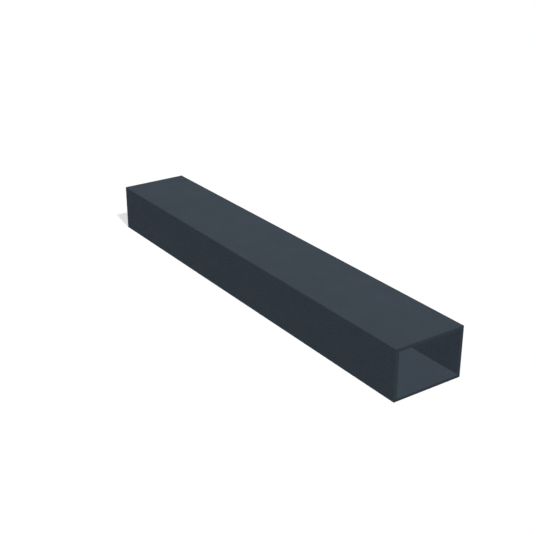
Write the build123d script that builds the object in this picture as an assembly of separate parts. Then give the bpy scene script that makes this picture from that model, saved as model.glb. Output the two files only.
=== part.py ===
from build123d import *
import os

# Rectangular aluminium tube: one extruded length, sawn square and open at both ends.
#
# The section is hollow, with one wall thickness all round. Its long corners are the nearly sharp
# ones of a press-extruded tube, not the wide bends of a rolled and welded one. Both saw cuts are
# deburred, outside and inside, as they are before powder coating.
#
# Frame: +X along the tube, +Y across its wide side, +Z up. The tube lies on its wide side, and the
# origin is the middle of the face that it rests on. All sizes are in millimetres.

# Driving dimensions
LENGTH = 380.0  # from saw cut to saw cut
WIDTH = 60.0  # outside, across the wide side
HEIGHT = 40.0  # outside, across the narrow side
WALL = 2.5  # all four walls
OUTER_RADIUS = 0.5  # the four long outside corners
INNER_RADIUS = 0.5  # the four long inside corners
DEBURR = 0.1  # 45 degree break on the edges of both saw cuts


def section():
    """The hollow section, drawn in the YZ plane about the tube's centre line."""
    outside = RectangleRounded(WIDTH, HEIGHT, OUTER_RADIUS)
    bore = RectangleRounded(WIDTH - 2 * WALL, HEIGHT - 2 * WALL, INNER_RADIUS)
    return Plane.YZ * (outside - bore)


def tube():
    """The section pressed out to length, lifted onto the floor, with its sawn edges broken."""
    blank = Pos(0, 0, HEIGHT / 2) * extrude(section(), amount=LENGTH / 2, both=True)
    sawn_ends = blank.faces().filter_by(Axis.X)
    return chamfer(sawn_ends.edges(), DEBURR)


def main():
    os.makedirs("parts", exist_ok=True)
    export_step(tube(), "parts/tube.step")


if __name__ == "__main__":
    main()
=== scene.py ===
"""Rectangular metal tube with a matt powder coat, lying on a plain white floor.

The file is laid out as an add-on: one operator coats the tube and one sets up the floor, the lamps
and the camera around it, and their settings stand in a panel in the 3D view's sidebar. Run as a
script, it calls both in order.

The tube is the CAD solid itself, in metres: +X along it, +Z up, resting on the floor at Z = 0.
"""

import math

import bmesh
import bpy
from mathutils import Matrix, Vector


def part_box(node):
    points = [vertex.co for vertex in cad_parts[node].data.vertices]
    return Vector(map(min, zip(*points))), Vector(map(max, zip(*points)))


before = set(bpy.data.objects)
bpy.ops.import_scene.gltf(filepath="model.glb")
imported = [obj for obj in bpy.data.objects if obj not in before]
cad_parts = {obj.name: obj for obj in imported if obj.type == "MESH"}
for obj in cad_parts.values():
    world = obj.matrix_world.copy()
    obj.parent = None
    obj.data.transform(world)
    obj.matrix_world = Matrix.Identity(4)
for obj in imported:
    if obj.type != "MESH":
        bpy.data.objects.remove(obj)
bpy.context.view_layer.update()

bl_info = {
    "name": "Powder-Coated Tube",
    "version": (1, 0, 0),
    "blender": (4, 5, 0),
    "location": "3D View > Sidebar > Tube",
    "description": "Coats a length of rectangular metal tube and lights it on a white floor",
    "category": "Object",
}

MM = 0.001
TUBE_LOW, TUBE_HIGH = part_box("tube")
HALF_LENGTH = (TUBE_HIGH.x - TUBE_LOW.x) / 2

# The cut ends are told from the long faces by how near a point lies to either end.
CUT_DEPTH = 0.25 * MM

# A sun lamp of this strength renders a white face square to it as white.
FULL_LIGHT = math.pi

# Blender's noise hardly leaves this range.
NOISE_LOW = 0.3
NOISE_HIGH = 0.7

# Blender's ring wave at scale 1 repeats after this distance.
RING_PERIOD = math.tau / 20

# Light that the white room itself gives, beside the lamps.
ROOM_FILL = 0.02

# Share of its light that the floor throws back at the tube, far less than its colour would.
FLOOR_BOUNCE = 0.05


# ---------------------------------------------------------------------------- settings


class CoatSettings(bpy.types.PropertyGroup):
    """The powder coat on the tube."""

    colour: bpy.props.FloatVectorProperty(
        name="Colour",
        description="Colour of the powder coat",
        subtype="COLOR",
        size=3,
        min=0.0,
        max=1.0,
        default=(0.0454, 0.0582, 0.0740),
    )
    roughness: bpy.props.FloatProperty(
        name="Roughness",
        description="How matt the coat is",
        subtype="FACTOR",
        min=0.0,
        max=1.0,
        default=0.6,
    )
    reflection: bpy.props.FloatProperty(
        name="Reflection",
        description="How strongly the coat reflects, where 0.5 is a clear gloss lacquer",
        subtype="FACTOR",
        min=0.0,
        max=1.0,
        default=0.0025,
    )
    peel_size: bpy.props.FloatProperty(
        name="Orange peel size",
        description="Distance across one swell of the orange peel",
        unit="LENGTH",
        min=0.2 * MM,
        default=2.5 * MM,
    )
    peel_height: bpy.props.FloatProperty(
        name="Orange peel height",
        description="Height of the orange peel from trough to crest",
        unit="LENGTH",
        min=0.0,
        default=0.06 * MM,
    )
    grain_size: bpy.props.FloatProperty(
        name="Grain size",
        description="Distance across one grain of the matt texture",
        unit="LENGTH",
        min=0.05 * MM,
        default=0.8 * MM,
    )
    grain_height: bpy.props.FloatProperty(
        name="Grain height",
        description="Height of the grain of the matt texture",
        unit="LENGTH",
        min=0.0,
        default=0.14 * MM,
    )
    die_line_spacing: bpy.props.FloatProperty(
        name="Die line spacing",
        description="Distance between the lines that the extrusion die left along the tube",
        unit="LENGTH",
        min=0.2 * MM,
        default=2.4 * MM,
    )
    die_line_height: bpy.props.FloatProperty(
        name="Die line height",
        description="Height of the die lines, as far as they show through the coat",
        unit="LENGTH",
        min=0.0,
        default=0.01 * MM,
    )
    saw_line_spacing: bpy.props.FloatProperty(
        name="Saw line spacing",
        description="Distance between the arcs that the saw blade left on the cut ends",
        unit="LENGTH",
        min=0.2 * MM,
        default=0.7 * MM,
    )
    saw_line_height: bpy.props.FloatProperty(
        name="Saw line height",
        description="Height of the saw lines, as far as they show through the coat",
        unit="LENGTH",
        min=0.0,
        default=0.012 * MM,
    )
    # Painted light on the crests of the grain and painted shade in its troughs: the coat's colour is
    # made paler on the crests and darker in the troughs.
    grain_painted_shade: bpy.props.FloatProperty(
        name="Grain painted shade",
        description="How much the crests of the grain lighten the coat and its troughs darken it",
        subtype="FACTOR",
        min=0.0,
        max=0.5,
        default=0.1,
    )
    film_variation: bpy.props.FloatProperty(
        name="Film variation",
        description="How much the coat lightens and darkens where its film is thick or thin",
        subtype="FACTOR",
        min=0.0,
        max=0.5,
        default=0.03,
    )


class StageSettings(bpy.types.PropertyGroup):
    """The floor, the lamps and the camera."""

    floor_colour: bpy.props.FloatVectorProperty(
        name="Floor colour",
        description="Colour of the floor where no shadow falls",
        subtype="COLOR",
        size=3,
        min=0.0,
        max=1.0,
        default=(1.0, 1.0, 1.0),
    )
    shadow_shade: bpy.props.FloatProperty(
        name="Shadow shade",
        description="How bright the floor stays in the tube's shadow",
        subtype="FACTOR",
        min=0.0,
        max=1.0,
        default=0.73,
    )
    shadow_softness: bpy.props.FloatProperty(
        name="Shadow softness",
        description="Angle across the lamp that draws the shadow. A wider lamp blurs its edge",
        subtype="ANGLE",
        min=0.0,
        max=math.radians(60),
        default=math.radians(4),
    )
    floor_radius: bpy.props.FloatProperty(
        name="Floor radius",
        description="Radius of the round floor",
        unit="LENGTH",
        min=1.0,
        default=8.0,
    )
    key_azimuth: bpy.props.FloatProperty(
        name="Key azimuth",
        description="Direction that the key light comes from, from +X towards +Y",
        subtype="ANGLE",
        default=math.radians(-9.5),
    )
    key_elevation: bpy.props.FloatProperty(
        name="Key elevation",
        description="Height that the key light comes from, as an angle",
        subtype="ANGLE",
        min=math.radians(10),
        max=math.radians(90),
        default=math.radians(47.5),
    )
    key_light: bpy.props.FloatProperty(
        name="Key light",
        description="Light on a face square to the key light, where 1 renders white as white",
        min=0.0,
        default=0.96,
    )
    side_light: bpy.props.FloatProperty(
        name="Side light",
        description="Light from the side at -Y, a little above the tube",
        min=0.0,
        default=0.47,
    )
    back_light: bpy.props.FloatProperty(
        name="Back light",
        description="Light from behind, which puts a soft sheen on the top",
        min=0.0,
        default=0.31,
    )
    fill_light: bpy.props.FloatProperty(
        name="Fill light",
        description="Light from low down on the faces at +Y and -X and on the underside",
        min=0.0,
        default=0.60,
    )
    azimuth: bpy.props.FloatProperty(
        name="Camera azimuth",
        description="Direction of the camera round the tube, from +X towards +Y",
        subtype="ANGLE",
        default=math.radians(-34.43),
    )
    elevation: bpy.props.FloatProperty(
        name="Camera elevation",
        description="Height of the camera above the floor, as an angle",
        subtype="ANGLE",
        default=math.radians(24.01),
    )
    distance: bpy.props.FloatProperty(
        name="Camera distance",
        description="Distance from the camera to the middle of the tube",
        unit="LENGTH",
        min=0.05,
        default=0.8095,
    )
    field_of_view: bpy.props.FloatProperty(
        name="Field of view",
        description="Angle that the camera takes in across the picture",
        subtype="ANGLE",
        min=math.radians(5),
        max=math.radians(120),
        default=math.radians(30),
    )


# ---------------------------------------------------------------------------- node helpers


def new_tree(owner):
    """The owner's node tree, emptied."""
    owner.use_nodes = True
    owner.node_tree.nodes.clear()
    return owner.node_tree


def add_node(tree, kind, label, sockets=None, **settings):
    """A node with its settings. A value in sockets is set on that input, an output is linked to it."""
    node = tree.nodes.new(kind)
    node.label = label
    for name, value in settings.items():
        setattr(node, name, value)
    for name, value in (sockets or {}).items():
        if isinstance(value, bpy.types.NodeSocket):
            tree.links.new(value, node.inputs[name])
        else:
            node.inputs[name].default_value = value
    return node


def add_math(tree, label, operation, *values):
    """The output of a math node. Each value is a number or an output."""
    sockets = dict(enumerate(values))
    return add_node(tree, "ShaderNodeMath", label, sockets, operation=operation).outputs[0]


def add_sum(tree, label, terms):
    """The sum of several outputs."""
    total = terms[0]
    for term in terms[1:]:
        total = add_math(tree, label, "ADD", total, term)
    return total


def add_noise(tree, label, vector, size, detail):
    """Noise with features of that size in metres, stretched so that it runs from about 0 to 1."""
    sockets = {"Vector": vector, "Scale": 1 / size, "Detail": detail}
    noise = add_node(tree, "ShaderNodeTexNoise", label, sockets).outputs["Fac"]
    return add_node(
        tree,
        "ShaderNodeMapRange",
        label,
        {"Value": noise, "From Min": NOISE_LOW, "From Max": NOISE_HIGH},
        clamp=False,
    ).outputs["Result"]


def add_shade(tree, label, noise, amount):
    """A factor about 1: less by the amount where the noise is 0, and more by it where it is 1."""
    return add_math(tree, label, "MULTIPLY_ADD", noise, 2 * amount, 1 - amount)


# ---------------------------------------------------------------------------- powder coat


def lines_along(tree, place, spacing):
    """Uneven lines along the tube, as an extrusion die leaves them."""
    length_to_spacing = 250
    stretch = add_node(
        tree,
        "ShaderNodeMapping",
        "Stretch along the tube",
        {"Vector": place, "Scale": (1 / length_to_spacing, 1.0, 1.0)},
    )
    return add_noise(tree, "Die lines", stretch.outputs["Vector"], spacing, detail=2.0)


def saw_arcs(tree, place, spacing):
    """Arcs across the cut ends, about a saw blade's centre to one side of the tube and above it."""
    blade_centre = Vector((0, 120 * MM, 90 * MM))
    from_blade = add_node(
        tree,
        "ShaderNodeMapping",
        "Place of the saw blade",
        {"Vector": place, "Location": -blade_centre},
    )
    arcs = add_node(
        tree,
        "ShaderNodeTexWave",
        "Saw lines",
        {
            "Vector": from_blade.outputs["Vector"],
            "Scale": RING_PERIOD / spacing,
            "Distortion": 1.5,
            "Detail": 2.0,
            "Detail Scale": 0.4,
        },
        wave_type="RINGS",
        rings_direction="X",
    )
    return arcs.outputs["Fac"]


def coat_height(tree, coat, place, grain, on_end):
    """Height of the coat's surface in metres: peel, grain, and the lines in the metal below."""
    peel = add_noise(tree, "Orange peel", place, coat.peel_size, detail=1.0)
    die_lines = lines_along(tree, place, coat.die_line_spacing)
    saw_lines = saw_arcs(tree, place, coat.saw_line_spacing)
    on_face = add_math(tree, "On a long face", "SUBTRACT", 1.0, on_end)
    die_height = add_math(tree, "Die line height", "MULTIPLY", die_lines, coat.die_line_height)
    saw_height = add_math(tree, "Saw line height", "MULTIPLY", saw_lines, coat.saw_line_height)
    return add_sum(
        tree,
        "Surface height",
        [
            add_math(tree, "Peel height", "MULTIPLY", peel, coat.peel_height),
            add_math(tree, "Grain height", "MULTIPLY", grain, coat.grain_height),
            add_math(tree, "Die lines off the ends", "MULTIPLY", die_height, on_face),
            add_math(tree, "Saw lines on the ends", "MULTIPLY", saw_height, on_end),
        ],
    )


def coat_colour(tree, coat, place, grain):
    """The coat's colour, in soft clouds where the film varies, with painted light on the crests of the
    grain and painted shade in its troughs.
    """
    cloud_size = 28 * MM
    clouds = add_noise(tree, "Film thickness", place, cloud_size, detail=3.0)
    film = add_shade(tree, "Shade of the film", clouds, coat.film_variation)
    # Painted light on the grain's crests and painted shade in its troughs, beside the film's own uneven
    # tone.
    painted_grain_shade = add_shade(tree, "Painted light and shade of the grain", grain, coat.grain_painted_shade)
    return add_node(
        tree,
        "ShaderNodeVectorMath",
        "Colour with film tone and painted grain shade",
        {"Vector": tuple(coat.colour), "Scale": add_math(tree, "Shade", "MULTIPLY", film, painted_grain_shade)},
        operation="SCALE",
    ).outputs["Vector"]


def coat_roughness(tree, coat, place):
    """The coat's roughness, a little uneven."""
    patch_size = 9 * MM
    spread = 0.06
    patches = add_noise(tree, "Matt patches", place, patch_size, detail=3.0)
    return add_node(
        tree,
        "ShaderNodeMapRange",
        "Roughness",
        {
            "Value": patches,
            "To Min": coat.roughness - spread,
            "To Max": coat.roughness + spread,
        },
    ).outputs["Result"]


def powder_coat_material(coat):
    """Matt powder coat over extruded, sawn metal."""
    material = bpy.data.materials.new("Matt powder coat")
    tree = new_tree(material)
    place = add_node(tree, "ShaderNodeTexCoord", "Place on the tube").outputs["Object"]
    along = add_node(tree, "ShaderNodeSeparateXYZ", "Along the tube", {"Vector": place})
    from_middle = add_math(tree, "Distance from the middle", "ABSOLUTE", along.outputs["X"])
    on_end = add_math(tree, "On a cut end", "GREATER_THAN", from_middle, HALF_LENGTH - CUT_DEPTH)
    grain = add_noise(tree, "Grain", place, coat.grain_size, detail=2.0)
    surface = add_node(
        tree,
        "ShaderNodeBump",
        "Surface of the coat",
        {"Height": coat_height(tree, coat, place, grain, on_end), "Distance": 1.0},
    )
    shader = add_node(
        tree,
        "ShaderNodeBsdfPrincipled",
        "Powder coat",
        {
            "Base Color": coat_colour(tree, coat, place, grain),
            "Roughness": coat_roughness(tree, coat, place),
            "Specular IOR Level": coat.reflection,
            "Normal": surface.outputs["Normal"],
        },
    )
    add_node(
        tree,
        "ShaderNodeOutputMaterial",
        "Coat",
        {"Surface": shader.outputs["BSDF"]},
    )
    return material


class TUBE_OT_powder_coat(bpy.types.Operator):
    """Give the tube its matt powder coat, inside and out"""

    bl_idname = "tube.powder_coat"
    bl_label = "Powder Coat the Tube"

    def execute(self, context):
        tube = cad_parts["tube"]
        tube.data.materials.clear()
        tube.data.materials.append(powder_coat_material(context.scene.tube_coat))
        return {"FINISHED"}


# ---------------------------------------------------------------------------- stage


def seen_directly(tree):
    """1 for rays that show a surface in the picture, in a mirror or through glass, 0 for the rest."""
    path = add_node(tree, "ShaderNodeLightPath", "Kind of ray").outputs
    straight_or_mirrored = add_math(
        tree, "Seen straight or mirrored", "MAXIMUM", path["Is Camera Ray"], path["Is Glossy Ray"]
    )
    return add_math(
        tree, "Seen", "MAXIMUM", straight_or_mirrored, path["Is Transmission Ray"]
    )


def one_look_one_light(tree, shown, dim):
    """A surface that looks like the first shader, and lights the tube like the second."""
    # A mix's two shader inputs have one name, so they go by place: 2 is the one at factor 1.
    return add_node(
        tree,
        "ShaderNodeMixShader",
        "Seen or not",
        {"Fac": seen_directly(tree), 1: dim, 2: shown},
    ).outputs["Shader"]


def direction(azimuth, elevation):
    """The unit vector that points there from the tube's middle."""
    level = math.cos(elevation)
    return Vector((level * math.cos(azimuth), level * math.sin(azimuth), math.sin(elevation)))


def from_direction(azimuth, elevation):
    """The direction that light shines in when it comes from an azimuth and an elevation in degrees."""
    return -direction(math.radians(azimuth), math.radians(elevation))


def key_direction(stage):
    """The direction that the key light shines in."""
    return -direction(stage.key_azimuth, stage.key_elevation)


def soft_lamps(stage):
    """Name, direction and strength of the lamps that light the tube."""
    return [
        ("key_light", key_direction(stage), stage.key_light),
        ("side_light", from_direction(azimuth=-90, elevation=20), stage.side_light),
        ("back_light", from_direction(azimuth=138, elevation=25), stage.back_light),
        ("fill_light", from_direction(azimuth=135, elevation=-25), stage.fill_light),
    ]


def light_in_shadow(stage):
    """Light that reaches the floor where the shadow lamp doesn't."""
    lamps = soft_lamps(stage)
    return ROOM_FILL + sum(max(0, -towards.z) * strength for _, towards, strength in lamps)


def diffuse(tree, label, colour):
    """The output of a dull shader of one colour."""
    return add_node(tree, "ShaderNodeBsdfDiffuse", label, {"Color": (*colour, 1.0)}).outputs["BSDF"]


def floor_material(stage):
    """Its own colour where it is lit, darker in a shadow, and dull as a source of light."""
    material = bpy.data.materials.new("White floor")
    tree = new_tree(material)
    in_shadow = stage.shadow_shade / light_in_shadow(stage)
    shown = diffuse(tree, "Floor as seen", [c * in_shadow for c in stage.floor_colour])
    dull = diffuse(tree, "Floor as it lights the tube", [FLOOR_BOUNCE] * 3)
    surface = one_look_one_light(tree, shown, dull)
    add_node(tree, "ShaderNodeOutputMaterial", "Floor", {"Surface": surface})
    return material


def make_floor(stage):
    """A wide round floor at Z = 0."""
    mesh = bpy.data.meshes.new("floor")
    disc = bmesh.new()
    bmesh.ops.create_circle(disc, cap_ends=True, segments=96, radius=stage.floor_radius)
    disc.to_mesh(mesh)
    disc.free()
    mesh.materials.append(floor_material(stage))
    floor = bpy.data.objects.new("floor", mesh)
    bpy.context.scene.collection.objects.link(floor)
    return floor


def make_lamp(name, towards, strength, softness):
    """A sun lamp that shines in a direction. Strength 1 renders a white face square to it white."""
    lamp = bpy.data.lights.new(name, "SUN")
    lamp.energy = strength * FULL_LIGHT
    lamp.angle = softness
    holder = bpy.data.objects.new(name, lamp)
    holder.rotation_mode = "QUATERNION"
    holder.rotation_quaternion = Vector(towards).to_track_quat("-Z", "Y")
    bpy.context.scene.collection.objects.link(holder)
    return holder


def make_soft_light(stage):
    """The lamps of the room. They cast no shadow, so they light the bore like the outside."""
    softness = math.radians(12)
    for name, towards, strength in soft_lamps(stage):
        lamp = make_lamp(name, towards, strength, softness)
        lamp.data.use_shadow = False


def make_shadow_light(stage, floor):
    """The lamp that draws the tube's shadow, along the key light. It lights the floor alone."""
    # A little more light than white needs keeps the open floor white right up to the shadow.
    spare = 1.02
    on_floor = light_in_shadow(stage) * (spare / stage.shadow_shade - 1)
    strength = on_floor / math.sin(stage.key_elevation)
    lamp = make_lamp("shadow_light", key_direction(stage), strength, stage.shadow_softness)
    receivers = bpy.data.collections.new("lit by the shadow light")
    receivers.objects.link(floor)
    lamp.light_linking.receiver_collection = receivers


def white_room(tree, label, strength):
    """The output of an even white background."""
    sockets = {"Color": (1.0, 1.0, 1.0, 1.0), "Strength": strength}
    return add_node(tree, "ShaderNodeBackground", label, sockets).outputs["Background"]


def make_world():
    """A white room to look at and to reflect, which gives the tube only a little light."""
    world = bpy.data.worlds.new("White room")
    bpy.context.scene.world = world
    tree = new_tree(world)
    shown = white_room(tree, "Room as seen", 1.0)
    dim = white_room(tree, "Room as it lights the tube", ROOM_FILL)
    surface = one_look_one_light(tree, shown, dim)
    add_node(tree, "ShaderNodeOutputWorld", "Room", {"Surface": surface})


def make_camera(stage):
    """A camera that looks at the middle of the tube."""
    camera = bpy.data.cameras.new("camera")
    camera.sensor_width = 36.0
    camera.lens = camera.sensor_width / 2 / math.tan(stage.field_of_view / 2)
    camera.clip_start = 0.01
    camera.clip_end = 100.0
    holder = bpy.data.objects.new("camera", camera)
    middle = (TUBE_LOW + TUBE_HIGH) / 2
    back = direction(stage.azimuth, stage.elevation)
    holder.location = middle + back * stage.distance
    holder.rotation_mode = "QUATERNION"
    holder.rotation_quaternion = (-back).to_track_quat("-Z", "Y")
    bpy.context.scene.collection.objects.link(holder)
    bpy.context.scene.camera = holder


class TUBE_OT_set_stage(bpy.types.Operator):
    """Lay the floor, hang the lamps and place the camera"""

    bl_idname = "tube.set_stage"
    bl_label = "Set the Stage"

    def execute(self, context):
        stage = context.scene.tube_stage
        floor = make_floor(stage)
        make_soft_light(stage)
        make_shadow_light(stage, floor)
        make_world()
        make_camera(stage)
        context.scene.view_settings.view_transform = "Standard"
        return {"FINISHED"}


# ---------------------------------------------------------------------------- panel


class TUBE_PT_tube(bpy.types.Panel):
    """The tube's coat and its stage"""

    bl_idname = "TUBE_PT_tube"
    bl_label = "Tube"
    bl_space_type = "VIEW_3D"
    bl_region_type = "UI"
    bl_category = "Tube"

    def draw(self, context):
        for settings, operator in (
            (context.scene.tube_coat, TUBE_OT_powder_coat),
            (context.scene.tube_stage, TUBE_OT_set_stage),
        ):
            box = self.layout.box()
            for name in settings.__annotations__:
                box.prop(settings, name)
            box.operator(operator.bl_idname)


CLASSES = (
    CoatSettings,
    StageSettings,
    TUBE_OT_powder_coat,
    TUBE_OT_set_stage,
    TUBE_PT_tube,
)


def register():
    for cls in CLASSES:
        bpy.utils.register_class(cls)
    bpy.types.Scene.tube_coat = bpy.props.PointerProperty(type=CoatSettings)
    bpy.types.Scene.tube_stage = bpy.props.PointerProperty(type=StageSettings)


def unregister():
    del bpy.types.Scene.tube_stage
    del bpy.types.Scene.tube_coat
    for cls in reversed(CLASSES):
        bpy.utils.unregister_class(cls)


def main():
    register()
    bpy.ops.tube.powder_coat()
    bpy.ops.tube.set_stage()


if __name__ == "__main__":
    main()
